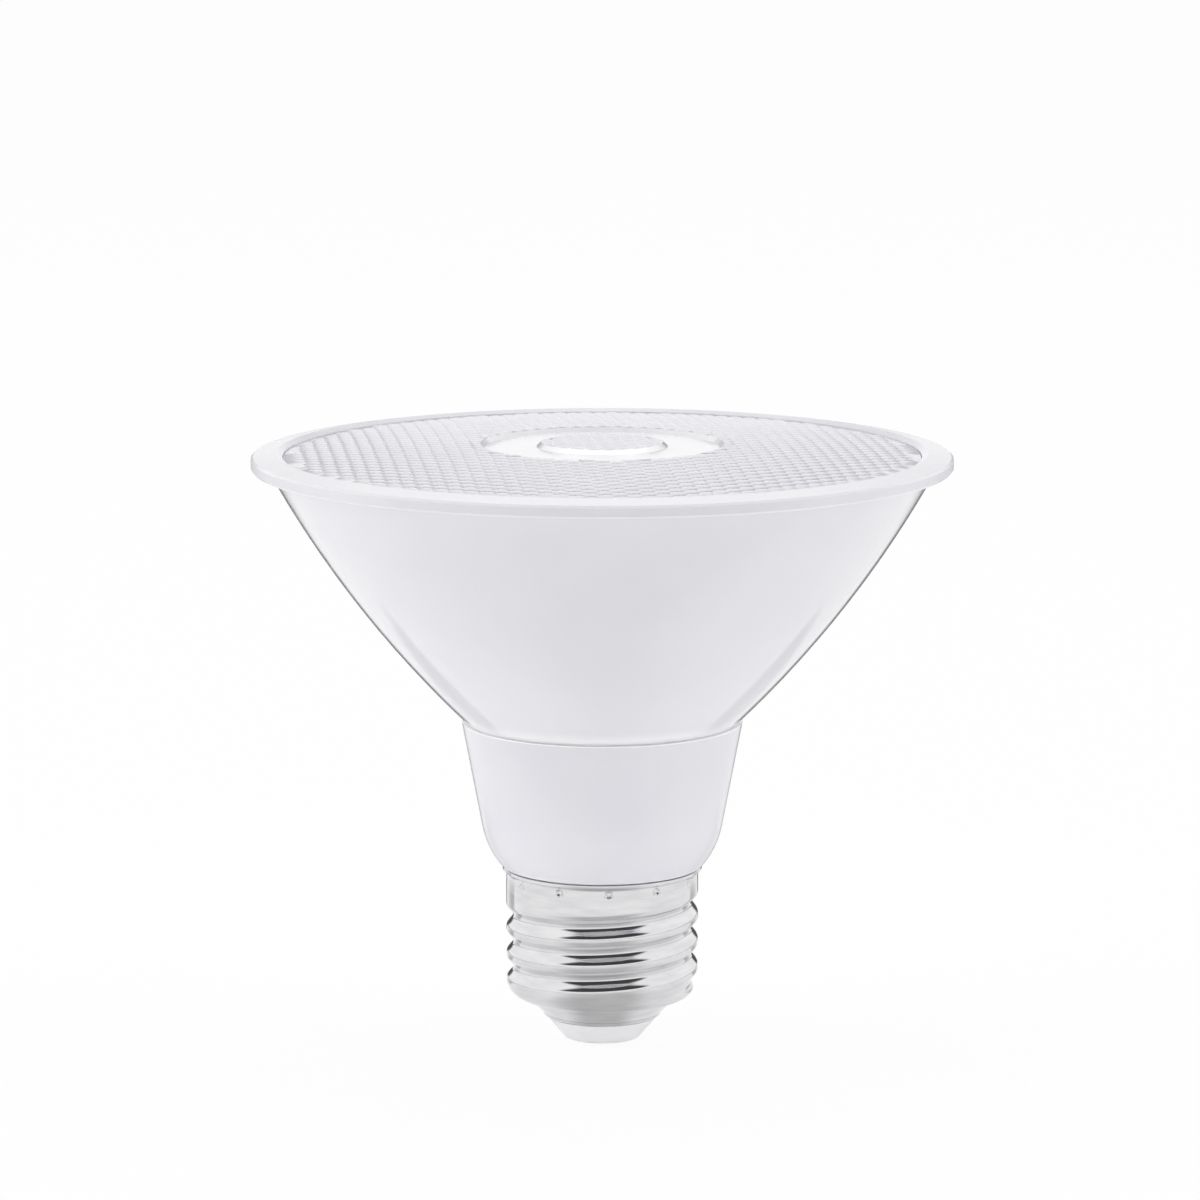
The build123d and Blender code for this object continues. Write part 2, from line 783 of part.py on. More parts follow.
nodes = {
    "screw_shell": make_screw_shell(),
    "base_insulator": make_base_insulator(),
    "centre_contact": make_centre_contact(),
    "neck_collar": make_neck_collar(),
    "cone_housing": make_cone_housing(),
    "trim_ring": make_trim_ring(),
    "front_lens": make_front_lens(),
    "heat_sink_cup": make_heat_sink_cup(),
    "led_board": make_led_board(),
    "led_package": make_led_package(),
    "led_phosphor": make_led_phosphor(),
    "board_screws": make_board_screws(),
    "driver_board": make_driver_board(),
    "bulk_capacitor": make_bulk_capacitor(),
    "output_capacitor": make_output_capacitor(),
    "transformer_core": make_transformer_core(),
    "transformer_winding": make_transformer_winding(),
    "film_capacitor": make_film_capacitor(),
    "bridge_rectifier": make_bridge_rectifier(),
    "driver_chip": make_driver_chip(),
    "varistor": make_varistor(),
    "fuse_resistor": make_fuse_resistor(),
    "live_lead": make_live_lead(),
    "neutral_lead": make_neutral_lead(),
    "led_lead_positive": make_led_lead(1),
    "led_lead_negative": make_led_lead(-1),
}

os.makedirs("parts", exist_ok=True)
for name, shape in nodes.items():
    export_step(shape, f"parts/{name}.step")
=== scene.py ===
from math import asin, cos, pi, radians, sin, sqrt, tau

import bmesh
import bpy
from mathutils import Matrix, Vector


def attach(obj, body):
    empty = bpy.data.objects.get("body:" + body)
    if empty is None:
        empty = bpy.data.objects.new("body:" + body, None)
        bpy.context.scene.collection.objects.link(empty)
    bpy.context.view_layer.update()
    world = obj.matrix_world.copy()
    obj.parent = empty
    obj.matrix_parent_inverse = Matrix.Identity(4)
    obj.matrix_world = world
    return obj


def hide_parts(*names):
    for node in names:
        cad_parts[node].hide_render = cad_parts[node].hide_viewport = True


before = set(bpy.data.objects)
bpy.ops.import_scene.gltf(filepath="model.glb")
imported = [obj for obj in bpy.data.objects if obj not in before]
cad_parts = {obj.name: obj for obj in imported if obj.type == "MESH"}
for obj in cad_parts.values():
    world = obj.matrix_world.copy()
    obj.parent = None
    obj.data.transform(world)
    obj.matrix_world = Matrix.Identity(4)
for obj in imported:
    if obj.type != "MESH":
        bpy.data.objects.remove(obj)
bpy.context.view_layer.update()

MM = 0.001

# Sizes of the lamp in millimetres, as its solids have them
shell_wall = 0.35
shell_top_z = 24.55
shell_lip_flare = 0.5
shell_shoulder_z = 6.2
shell_shoulder_round = 2.4
shell_step_r = 10.3
shell_mouth_r = 7.75
shell_mouth_z = 3.6
thread_crest_r = 13.1
thread_depth = 0.92
thread_pitch = 3.629
thread_crest_flat = 0.3
thread_foot_z = 8.413
thread_top_z = 19.3
crimp_count = 12
crimp_z = 23.0
crimp_turn = 3.95
collar_top_z = 44.45
lens_edge_r = 42.9
lens_edge_z = 81.0
lens_rise = 1.8
lens_disc_r = 8.2
lens_moat_r = 16.4
lens_moat_depth = 0.5
lens_seat_z = 78.7
lens_flange_r = 43.6
lens_flange_z = 80.1
optic_foot_r = 8.5
optic_foot_z = 66.3
optic_bulge = 0.9
optic_well_r = 6.8
optic_well_z = 71.8
optic_well_crown = 0.9

# Finer sizes of the shell in millimetres, which only its mesh here has
lip_gap = 0.18
mouth_lip_r = 8.02
mouth_lip_height = 0.36
lip_round = 0.06
lip_foot = 0.05
lip_foot_reach = 0.14
step_round = 0.1
step_dip = 0.03
step_land = 0.12
groove_start = 0.3
groove_ease = 0.8
crimp_r = 0.5
crimp_tip_r = 0.29
crimp_depth = 0.24

# Part of a turn in which the thread's groove runs out at each end
thread_lead_turns = 0.4

# How far the shell's columns are drawn together at the crimps, as a share
crimp_squeeze = 0.62

# How closely the shell is divided: columns and steps are counts, the rest is in millimetres
can_columns = 324
shoulder_steps = 24
shoulder_in_steps = 8
flare_steps = 8
slope_spacing = 0.5
shoulder_spacing = 0.14
shoulder_in_spacing = 0.4
wall_spacing = 0.12
wall_in_spacing = 0.27
wall_in_start = 0.25

# Finer sizes of the lens in millimetres, which only its mesh here has
lens_step_slant = 0.64
lens_step_ease = 1.2
lenslet_r = 1.25
lenslet_rise = 0.28
lenslet_edge_gap = 0.12
lenslet_merge = 0.02

# Turn of the lenslets' rows in degrees
lenslet_turn = 6.0

# Fall of a lenslet's crown over one radius towards its ends and its sides, as shares of its rise
lenslet_end_fall = 1.0
lenslet_side_fall = 0.64

# Painted shade in the valleys round a lenslet: its reach as shares of the lenslet's radius, the share lost at
# its sides and the share left on the disc
valley_ends = (0.5, 0.86)
valley_sides = (0.4, 0.7)
valley_side_loss = 0.6
valley_disc_share = 0.5

# Share that a point near the sunken ring's walls keeps of its way past the ease
lens_step_draw = 0.4

# How closely the lens is divided: columns and steps are counts, the spacing is in millimetres
lens_columns = 240
optic_steps = 20
crown_steps = 8
seat_spacing = 4

# Columns and rows of the lenslets' lattice beyond those that fit in the lens's two halves
spare_columns = 3
spare_rows = 5

# Width and height of a hexagon's place in close packing, for a radius of 1
hexagon_across = 1.5
hexagon_pitch = sqrt(3)

# Angles in degrees past which an edge stays crisp
shell_crease = 40
lens_crease = 22

# Upward share of a face's direction under which it counts as a wall
wall_limit = 0.5

# Distance from the axis in millimetres within which a point stays where it is
axis_reach = 0.01

# How a finish's two noises are drawn: their detail, the parts of their range in use and the relief's strength
patch_detail = 3
grain_detail = 4
tone_range = (0.35, 0.65)
gloss_range = (0.3, 0.7)
relief_strength = 0.6

# Range of the valley mask over which the painted shade darkens the lens
valley_shade_range = (0.18, 1.0)

# Reach in millimetres of the painted light at the collar's ledge, on the collar and on the housing, and the
# share of it that is palest
collar_light_reach = 0.25
housing_light_reach = 2.2
ledge_light_core = 0.1

# Dim opening in the white surroundings: angles in degrees, then its breadth and level as shares
opening_height = 48
opening_inside = 20
opening_outside = 29
opening_breadth = 0.45
opening_darkest = 0.06

# Room ahead of the lamp: how much dimmer it is than the white surroundings, and the Y of directions to it
room_dim = 0.4
room_ahead = (-0.9, -0.3)

# Pale floor: half its side in metres, colour, roughness, and its glow to the camera and in reflections
floor_half = 6.0
floor_pale = (0.92, 0.92, 0.92, 1)
floor_rough = 0.9
floor_glow = 0.94
floor_glimpse = 0.6

# Where the white table ends in reflections, in metres, how far it gives way there, and the room's glow beyond
table_reach = (0.2, 0.32)
table_end = 0.8
room_glow = 0.1

# Dim patch of floor before the lamp's foot in reflections: degrees from straight ahead, metres and strength
foot_shade_angles = (18, 60)
foot_shade_reach = (0.045, 0.1)
foot_shade = 0.4

# Dark cards behind the lamp that draw its edges in reflections: degrees from behind, level and metres
card_inside = (6, 10)
card_outside = (21, 26)
card_darkest = 0.08
card_reach = (0.05, 0.07)

# Dim strips of floor beside the cards in reflections: degrees from behind, metres and strength
strip_inside = (24, 50)
strip_outside = (54, 56)
strip_near = (0.03, 0.04)
strip_far = (0.095, 0.11)
strip_shade = 0.5

# Camera: place in metres, degrees that it looks down, lens and sensor in millimetres
view_place = (-0.0003, -0.66693, 0.17439)
view_down = 9.656
view_lens = 149.96
view_sensor = 36


def tone(red, green, blue):
    """Colour as a scene value, from the 0 to 255 values it is seen at, by the standard screen curve."""
    linear = []
    for level in (red, green, blue):
        share = level / 255
        linear.append(share / 12.92 if share <= 0.04045 else ((share + 0.055) / 1.055) ** 2.4)
    return (*linear, 1.0)


# Outlines and turned pieces

def arched(start, end, rise, steps):
    """Points of an arc between two (radius, height) points, proud of the run's right side by that rise."""
    start, end = Vector(start), Vector(end)
    run = end - start
    half = run.length / 2
    outwards = Vector((run.y, -run.x)).normalized()
    if rise < 0:
        outwards = -outwards
    radius = (half**2 + rise**2) / (2 * abs(rise))
    middle = (start + end) / 2 + outwards * (abs(rise) - radius)
    swing = asin(half / radius)
    along = run.normalized()
    turns = [swing * (2 * step / steps - 1) for step in range(steps + 1)]
    return [tuple(middle + along * (radius * sin(turn)) + outwards * (radius * cos(turn))) for turn in turns]


def divided(points, spacing):
    """The same run of points, with more put in where they lie further apart than about the spacing."""
    run = [points[0]]
    for start, end in zip(points, points[1:]):
        gap = (Vector(end) - Vector(start)).length
        steps = max(1, round(gap / spacing))
        for step in range(1, steps + 1):
            run.append(tuple(Vector(start).lerp(Vector(end), step / steps)))
    return run


def even_turns(count):
    """Angles of a piece's columns, evenly spread round the axis."""
    return [tau * step / count for step in range(count)]


def ring_of(form, radius, height, turns):
    """Ring of points about the axis, or the one point where it meets the axis."""
    if radius == 0:
        return [form.verts.new((0, 0, height * MM))]
    return [form.verts.new((radius * cos(turn) * MM, radius * sin(turn) * MM, height * MM)) for turn in turns]


def lofted(form, rings):
    """Faces from each ring to the next."""
    for low, high in zip(rings, rings[1:]):
        count = max(len(low), len(high))
        for step in range(count):
            after = (step + 1) % count
            if len(low) == 1:
                form.faces.new((low[0], high[after], high[step]))
            elif len(high) == 1:
                form.faces.new((low[step], low[after], high[0]))
            else:
                form.faces.new((low[step], low[after], high[after], high[step]))


def mesh_of(name, form):
    """Mesh from a finished form, with its faces outwards."""
    bmesh.ops.recalc_face_normals(form, faces=form.faces)
    mesh = bpy.data.meshes.new(name)
    form.to_mesh(mesh)
    form.free()
    return mesh


def turned(name, outline, turns):
    """Closed mesh turned about the axis from a closed outline of (radius, height) points in millimetres."""
    form = bmesh.new()
    rings = [ring_of(form, radius, height, turns) for radius, height in outline]
    lofted(form, [*rings, rings[0]])
    return mesh_of(name, form)


def smoothed(mesh, crease):
    """Smooth shading, with edges sharper than the crease angle kept crisp."""
    mesh.polygons.foreach_set("use_smooth", [True] * len(mesh.polygons))
    mesh.set_sharp_from_angle(angle=radians(crease))


def placed(name, mesh):
    """Object for a mesh whose place is already in its points."""
    piece = bpy.data.objects.new(name, mesh)
    bpy.context.scene.collection.objects.link(piece)
    return piece


# Geometry recipes

class Field:
    """A value in a geometry recipe that can be reckoned with."""

    def __init__(self, recipe, socket):
        self.recipe = recipe
        self.socket = socket

    def reckon(self, operation, *others):
        """One sum that starts with this value."""
        return self.recipe.worked(operation, self, *others)

    def __add__(self, other):
        return self.reckon("ADD", other)

    def __sub__(self, other):
        return self.reckon("SUBTRACT", other)

    def __mul__(self, other):
        return self.reckon("MULTIPLY", other)

    def __truediv__(self, other):
        return self.reckon("DIVIDE", other)

    def below(self, other):
        return self.reckon("LESS_THAN", other)

    def at_most(self, other):
        return self.reckon("MINIMUM", other)

    def at_least(self, other):
        return self.reckon("MAXIMUM", other)

    def eased(self, low, high):
        """0 below low, 1 above high, and a smooth rise between."""
        node = self.recipe.tree.nodes.new("ShaderNodeMapRange")
        node.interpolation_type = "SMOOTHSTEP"
        self.recipe.join(self, node.inputs["Value"])
        self.recipe.join(low, node.inputs["From Min"])
        self.recipe.join(high, node.inputs["From Max"])
        return Field(self.recipe, node.outputs["Result"])


class Recipe:
    """A Geometry Nodes tree made step by step, with its sizes as named inputs."""

    def __init__(self, name, sizes):
        self.tree = bpy.data.node_groups.new(name, "GeometryNodeTree")
        self.sizes = sizes
        face = self.tree.interface
        face.new_socket("Geometry", in_out="INPUT", socket_type="NodeSocketGeometry")
        face.new_socket("Geometry", in_out="OUTPUT", socket_type="NodeSocketGeometry")
        self.identifiers = {}
        for label, value in sizes.items():
            kind = "NodeSocketInt" if isinstance(value, int) else "NodeSocketFloat"
            socket = face.new_socket(label, in_out="INPUT", socket_type=kind)
            self.identifiers[label] = socket.identifier
        self.given = self.tree.nodes.new("NodeGroupInput")
        self.result = self.tree.nodes.new("NodeGroupOutput")

    def join(self, source, socket):
        """A field, a socket or a plain value, put on a node's input."""
        if isinstance(source, Field):
            source = source.socket
        if isinstance(source, bpy.types.NodeSocket):
            self.tree.links.new(source, socket)
        else:
            socket.default_value = source

    def worked(self, operation, *terms):
        """One sum on values, each a field or a number."""
        node = self.tree.nodes.new("ShaderNodeMath")
        node.operation = operation
        for term, socket in zip(terms, node.inputs):
            self.join(term, socket)
        return Field(self, node.outputs[0])

    def size(self, label):
        """One of the recipe's named inputs."""
        return Field(self, self.given.outputs[label])

    def step(self, kind, settings=None, **inputs):
        """One node, with its settings and its inputs by name."""
        node = self.tree.nodes.new(kind)
        for label, value in (settings or {}).items():
            setattr(node, label, value)
        for label, source in inputs.items():
            self.join(source, node.inputs[label.replace("_", " ")])
        return node

    def where(self):
        """The three parts of a point's place."""
        place = self.step("GeometryNodeInputPosition")
        parts = self.step("ShaderNodeSeparateXYZ", Vector=place.outputs[0])
        return [Field(self, parts.outputs[axis]) for axis in "XYZ"]

    def spot(self, x, y, z):
        """A place from its three parts."""
        return self.step("ShaderNodeCombineXYZ", X=x, Y=y, Z=z).outputs[0]

    def kept(self, geometry, name, value, kind="FLOAT", domain="POINT"):
        """The geometry, with a value kept on it under a name."""
        settings = {"data_type": kind, "domain": domain}
        inputs = {"Geometry": geometry, "Name": name, "Value": value}
        return self.step("GeometryNodeStoreNamedAttribute", settings, **inputs).outputs[0]

    def recalled(self, name, kind="FLOAT"):
        """A value that was kept under a name."""
        node = self.step("GeometryNodeInputNamedAttribute", {"data_type": kind}, Name=name)
        return Field(self, node.outputs["Attribute"])

    def finish(self, geometry, material):
        """Last steps: real geometry with its material."""
        real = self.step("GeometryNodeRealizeInstances", Geometry=geometry)
        dressed = self.step("GeometryNodeSetMaterial", Geometry=real.outputs[0], Material=material)
        self.join(dressed.outputs[0], self.result.inputs[0])

    def made_from(self, name, mesh):
        """Plain mesh that the recipe makes from a starting mesh."""
        blank = placed(name + "_blank", mesh)
        modifier = blank.modifiers.new(name, "NODES")
        modifier.node_group = self.tree
        for label, value in self.sizes.items():
            modifier[self.identifiers[label]] = value
        evaluated = blank.evaluated_get(bpy.context.evaluated_depsgraph_get())
        made = bpy.data.meshes.new_from_object(evaluated)
        made.name = name
        blank.modifiers.remove(modifier)
        bpy.data.objects.remove(blank)
        return made


# Materials

def ranged(nodes, links, source, taken, given, blend="SMOOTHSTEP"):
    """A value carried from one range to another, each given by its two ends, and held at the ends."""
    node = nodes.new("ShaderNodeMapRange")
    node.interpolation_type = blend
    for label, level in zip(("From Min", "From Max", "To Min", "To Max"), (*taken, *given)):
        node.inputs[label].default_value = level
    links.new(source, node.inputs["Value"])
    return node.outputs["Result"]


def toned_down(nodes, links, source, low, high):
    """1 up to low, 0 from high on, and a smooth fall between."""
    return ranged(nodes, links, source, (low, high), (1.0, 0.0))


def reckoned(nodes, links, operation, *terms):
    """One sum on values, each a socket or a number."""
    node = nodes.new("ShaderNodeMath")
    node.operation = operation
    for socket, term in zip(node.inputs, terms):
        if isinstance(term, bpy.types.NodeSocket):
            links.new(term, socket)
        else:
            socket.default_value = term
    return node.outputs[0]


def vector_reckoned(nodes, links, operation, source, other=(0, 0, 0)):
    """One sum on a place or direction and a fixed one."""
    node = nodes.new("ShaderNodeVectorMath")
    node.operation = operation
    links.new(source, node.inputs[0])
    node.inputs[1].default_value = other
    return node.outputs["Value" if operation in ("LENGTH", "DOT_PRODUCT") else "Vector"]


def parted(nodes, links, vector):
    """The X, Y and Z outputs of a place or direction."""
    node = nodes.new("ShaderNodeSeparateXYZ")
    links.new(vector, node.inputs["Vector"])
    return node.outputs


def blended(nodes, links, share, first, second):
    """Two shaders mixed, from all the first at 0 to all the second at 1."""
    node = nodes.new("ShaderNodeMixShader")
    for socket, source in zip(node.inputs, (share, first, second)):
        links.new(source, socket)
    return node.outputs[0]


def finish_of(name, pale, dark, patch, rough, grain, relief, stretch=(1, 1, 1), **constants):
    """Surface in two close tones that drift in patches, with a roughness range and a fine relief.

    Patch, grain and relief are lengths in millimetres. Constants go straight on the shader's own sockets.
    """
    material = bpy.data.materials.new(name)
    material.use_nodes = True
    nodes, links = material.node_tree.nodes, material.node_tree.links
    shader = nodes["Principled BSDF"]
    place = nodes.new("ShaderNodeTexCoord")
    turn = nodes.new("ShaderNodeMapping")
    turn.inputs["Scale"].default_value = stretch
    links.new(place.outputs["Object"], turn.inputs["Vector"])
    drift = nodes.new("ShaderNodeTexNoise")
    drift.inputs["Scale"].default_value = 1 / (patch * MM)
    drift.inputs["Detail"].default_value = patch_detail
    links.new(turn.outputs["Vector"], drift.inputs["Vector"])
    tones = nodes.new("ShaderNodeValToRGB")
    for stop, position, colour in zip(tones.color_ramp.elements, tone_range, (dark, pale)):
        stop.position = position
        stop.color = colour
    links.new(drift.outputs["Fac"], tones.inputs["Fac"])
    links.new(tones.outputs["Color"], shader.inputs["Base Color"])
    grit = nodes.new("ShaderNodeTexNoise")
    grit.inputs["Scale"].default_value = 1 / (grain * MM)
    grit.inputs["Detail"].default_value = grain_detail
    links.new(turn.outputs["Vector"], grit.inputs["Vector"])
    gloss = ranged(nodes, links, drift.outputs["Fac"], gloss_range, rough, "LINEAR")
    links.new(gloss, shader.inputs["Roughness"])
    bump = nodes.new("ShaderNodeBump")
    bump.inputs["Strength"].default_value = relief_strength
    bump.inputs["Distance"].default_value = relief * MM
    links.new(grit.outputs["Fac"], bump.inputs["Height"])
    links.new(bump.outputs["Normal"], shader.inputs["Normal"])
    for label, value in constants.items():
        shader.inputs[label.replace("_", " ")].default_value = value
    return material


housing_white = finish_of(
    "moulded_white_housing", tone(240, 239, 244), tone(236, 235, 240),
    patch=22, rough=(0.08, 0.12), grain=0.9, relief=0.002, Coat_Weight=0.5, Coat_Roughness=0.03,
)
collar_white = finish_of(
    "moulded_white_collar", tone(233, 232, 237), tone(229, 228, 234),
    patch=14, rough=(0.14, 0.2), grain=0.5, relief=0.004,
)
ring_white = finish_of(
    "moulded_white_ring", tone(248, 247, 251), tone(244, 243, 248),
    patch=12, rough=(0.2, 0.28), grain=0.6, relief=0.003,
)
insulator_white = finish_of(
    "insulator_white", tone(249, 249, 251), tone(244, 244, 247),
    patch=3, rough=(0.3, 0.42), grain=0.35, relief=0.006,
)
nickel_plate = finish_of(
    "rolled_nickel", tone(232, 232, 233), tone(221, 221, 223),
    patch=5, rough=(0.06, 0.12), grain=0.5, relief=0.0006, stretch=(1, 1, 6), Metallic=1.0,
)
contact_tin = finish_of(
    "contact_tin", tone(202, 200, 196), tone(178, 175, 170),
    patch=1.6, rough=(0.25, 0.45), grain=0.3, relief=0.01, Metallic=1.0,
)
lens_clear = finish_of(
    "lens_clear", tone(250, 248, 254), tone(246, 244, 251),
    patch=9, rough=(0.03, 0.07), grain=1.2, relief=0.001, Transmission_Weight=0.16, IOR=1.49,
)
lens_ring = finish_of(
    "lens_smooth_ring", tone(255, 253, 255), tone(252, 250, 254),
    patch=4, rough=(0.1, 0.16), grain=0.6, relief=0.002, Transmission_Weight=0.06, IOR=1.49,
)
lens_step = finish_of(
    "lens_bright_step", tone(253, 253, 254), tone(249, 249, 251),
    patch=3, rough=(0.3, 0.38), grain=0.4, relief=0.002, Metallic=0.75,
)
cup_metal = finish_of(
    "drawn_cup_metal", tone(232, 233, 235), tone(220, 221, 224),
    patch=6, rough=(0.3, 0.42), grain=0.5, relief=0.003, Metallic=1.0,
)
source_board_white = finish_of(
    "source_board_white", tone(240, 240, 238), tone(230, 230, 228),
    patch=4, rough=(0.35, 0.5), grain=0.4, relief=0.004,
)
source_base_white = finish_of(
    "source_base_white", tone(238, 238, 236), tone(226, 226, 224),
    patch=2, rough=(0.3, 0.45), grain=0.3, relief=0.004,
)
phosphor_yellow = finish_of(
    "phosphor_yellow", tone(250, 222, 96), tone(242, 205, 70),
    patch=0.8, rough=(0.4, 0.6), grain=0.2, relief=0.01,
)
screw_steel = finish_of(
    "screw_steel", tone(196, 196, 198), tone(170, 170, 173),
    patch=1.5, rough=(0.25, 0.4), grain=0.2, relief=0.006, Metallic=1.0,
)
board_green = finish_of(
    "board_green", tone(46, 112, 66), tone(36, 94, 54),
    patch=2.4, rough=(0.3, 0.42), grain=0.3, relief=0.008,
)
can_sleeve = finish_of(
    "can_sleeve", tone(44, 46, 60), tone(32, 34, 46),
    patch=3, rough=(0.3, 0.45), grain=0.4, relief=0.006,
)
ferrite_grey = finish_of(
    "ferrite_grey", tone(72, 72, 74), tone(52, 52, 54),
    patch=0.9, rough=(0.55, 0.75), grain=0.15, relief=0.02,
)
winding_tape = finish_of(
    "winding_tape", tone(226, 186, 62), tone(210, 166, 46),
    patch=2, rough=(0.25, 0.4), grain=0.6, relief=0.01, stretch=(1, 1, 5),
)
film_red = finish_of(
    "film_red", tone(176, 52, 40), tone(154, 40, 32),
    patch=2, rough=(0.25, 0.4), grain=0.5, relief=0.012,
)
chip_black = finish_of(
    "chip_black", tone(46, 46, 48), tone(34, 34, 36),
    patch=0.8, rough=(0.5, 0.68), grain=0.12, relief=0.01,
)
varistor_blue = finish_of(
    "varistor_blue", tone(52, 82, 152), tone(40, 66, 130),
    patch=1.6, rough=(0.3, 0.45), grain=0.3, relief=0.012,
)
fuse_grey = finish_of(
    "fuse_grey", tone(150, 156, 150), tone(130, 137, 131),
    patch=1.2, rough=(0.45, 0.6), grain=0.2, relief=0.01,
)
wire_black = finish_of(
    "wire_black", tone(38, 38, 40), tone(28, 28, 30),
    patch=2, rough=(0.35, 0.5), grain=0.3, relief=0.006,
)
wire_white = finish_of(
    "wire_white", tone(232, 231, 226), tone(220, 219, 213),
    patch=2, rough=(0.35, 0.5), grain=0.3, relief=0.006,
)
wire_red = finish_of(
    "wire_red", tone(182, 40, 36), tone(160, 30, 28),
    patch=2, rough=(0.35, 0.5), grain=0.3, relief=0.006,
)


def tinted(material, share, colour):
    """Another colour over the material's own, by a share from 0 to 1."""
    nodes, links = material.node_tree.nodes, material.node_tree.links
    mixed = nodes.new("ShaderNodeMix")
    mixed.data_type = "RGBA"
    colour_a, colour_b = [socket for socket in mixed.inputs if socket.type == "RGBA"]
    colour_b.default_value = colour
    links.new(share, mixed.inputs["Factor"])
    shader = nodes["Principled BSDF"]
    links.new(shader.inputs["Base Color"].links[0].from_socket, colour_a)
    mixed_colour = next(socket for socket in mixed.outputs if socket.type == "RGBA")
    links.new(mixed_colour, shader.inputs["Base Color"])


def paint_valley_shade(material, colour):
    """Painted shade: a darker tone in the valleys between the lens's cells."""
    nodes, links = material.node_tree.nodes, material.node_tree.links
    hollow = nodes.new("ShaderNodeAttribute")
    hollow.attribute_name = "hollow"
    share = ranged(nodes, links, hollow.outputs["Fac"], valley_shade_range, (0.0, 1.0), "LINEAR")
    tinted(material, share, colour)


def paint_ledge_light(material, height, reach, colour):
    """Painted light: a paler tone near a height, which softens the dark line of shade at a ledge."""
    nodes, links = material.node_tree.nodes, material.node_tree.links
    place = nodes.new("ShaderNodeTexCoord")
    parts = parted(nodes, links, place.outputs["Object"])
    above = reckoned(nodes, links, "SUBTRACT", parts["Z"], height * MM)
    away = reckoned(nodes, links, "ABSOLUTE", above)
    tinted(material, toned_down(nodes, links, away, reach * ledge_light_core * MM, reach * MM), colour)


# Grey of the painted shade in the valleys of the lens's cells
painted_valley_grey = tone(120, 118, 128)
# Pale tone of the painted light at the collar's ledge
ledge_light_pale = tone(253, 252, 254)
paint_valley_shade(lens_clear, painted_valley_grey)
# Painted light near the collar's top, on the collar and on the lowest part of the housing
paint_ledge_light(collar_white, collar_top_z, collar_light_reach, ledge_light_pale)
paint_ledge_light(housing_white, collar_top_z, housing_light_reach, ledge_light_pale)

node_finishes = {
    "cone_housing": housing_white,
    "neck_collar": collar_white,
    "trim_ring": ring_white,
    "base_insulator": insulator_white,
    "centre_contact": contact_tin,
    "heat_sink_cup": cup_metal,
    "led_board": source_board_white,
    "led_package": source_base_white,
    "led_phosphor": phosphor_yellow,
    "board_screws": screw_steel,
    "driver_board": board_green,
    "bulk_capacitor": can_sleeve,
    "output_capacitor": can_sleeve,
    "transformer_core": ferrite_grey,
    "transformer_winding": winding_tape,
    "film_capacitor": film_red,
    "bridge_rectifier": chip_black,
    "driver_chip": chip_black,
    "varistor": varistor_blue,
    "fuse_resistor": fuse_grey,
    "live_lead": wire_black,
    "neutral_lead": wire_white,
    "led_lead_positive": wire_red,
    "led_lead_negative": wire_black,
}
for node_name, finish in node_finishes.items():
    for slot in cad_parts[node_name].material_slots:
        slot.material = finish


# Screw shell: a turned can, then the thread and the crimps rolled into its wall

def can_turns():
    """Columns of the can, drawn closer together at the crimps so that each dimple is round."""
    phase = radians(crimp_turn)
    turns = even_turns(can_columns)
    return [phase + turn - crimp_squeeze * sin(crimp_count * turn) / crimp_count for turn in turns]


def can_outline():
    """Shell's sheet in section: up the outside from the mouth to the lip, then down the inside."""
    centre_r = thread_crest_r - shell_shoulder_round
    centre_z = shell_shoulder_z + shell_shoulder_round
    lip_z = shell_top_z - lip_gap
    lip_r = thread_crest_r + shell_lip_flare
    flare_z = lip_z - shell_wall - shell_lip_flare

    def shoulder(sunk, steps):
        radius = shell_shoulder_round - sunk
        turns = [pi / 2 * step / steps for step in range(steps + 1)]
        return [(centre_r + radius * sin(turn), centre_z - radius * cos(turn)) for turn in turns]

    def flared(base_r, foot_z):
        shares = [step / flare_steps for step in range(1, flare_steps + 1)]
        flare = shell_lip_flare
        return [(base_r + flare * (1 - cos(pi * share)) / 2, foot_z + flare * share) for share in shares]

    shoulder_out = shoulder(0, shoulder_steps)
    mouth_lip_z = shell_mouth_z + mouth_lip_height
    slope_foot = (mouth_lip_r + lip_foot_reach, mouth_lip_z + lip_foot)
    slope_head = (shell_step_r - step_round, shell_shoulder_z - step_round)
    slope = Vector((shell_step_r - shell_mouth_r, shell_shoulder_z - shell_mouth_z)).normalized()
    mouth_in = Vector((shell_mouth_r, shell_mouth_z)) + Vector((-slope.y, slope.x)) * shell_wall
    step_in_z = shell_shoulder_z + shell_wall
    step_in_r = mouth_in.x + (step_in_z - mouth_in.y) * slope.x / slope.y
    outside = [
        (shell_mouth_r, shell_mouth_z),
        (mouth_lip_r - lip_round, shell_mouth_z),
        (mouth_lip_r, shell_mouth_z + lip_round),
        (mouth_lip_r, mouth_lip_z - lip_round),
        (mouth_lip_r + lip_foot, mouth_lip_z),
        *divided([slope_foot, slope_head], slope_spacing),
        (shell_step_r, shell_shoulder_z - step_dip),
        *divided([(shell_step_r + step_land, shell_shoulder_z), *shoulder_out], shoulder_spacing),
        *divided([(thread_crest_r, centre_z + wall_spacing), (thread_crest_r, flare_z)], wall_spacing),
        *flared(thread_crest_r, flare_z),
        (lip_r, lip_z - lip_round),
        (lip_r - lip_round, lip_z),
    ]
    inner_r = thread_crest_r - shell_wall
    inside = [
        tuple(mouth_in),
        (step_in_r, step_in_z),
        *divided(shoulder(shell_wall, shoulder_in_steps), shoulder_in_spacing),
        *divided([(inner_r, centre_z + wall_in_start), (inner_r, lip_z - shell_lip_flare)], wall_in_spacing),
        (inner_r + shell_lip_flare, lip_z),
    ]
    return outside + inside[::-1]


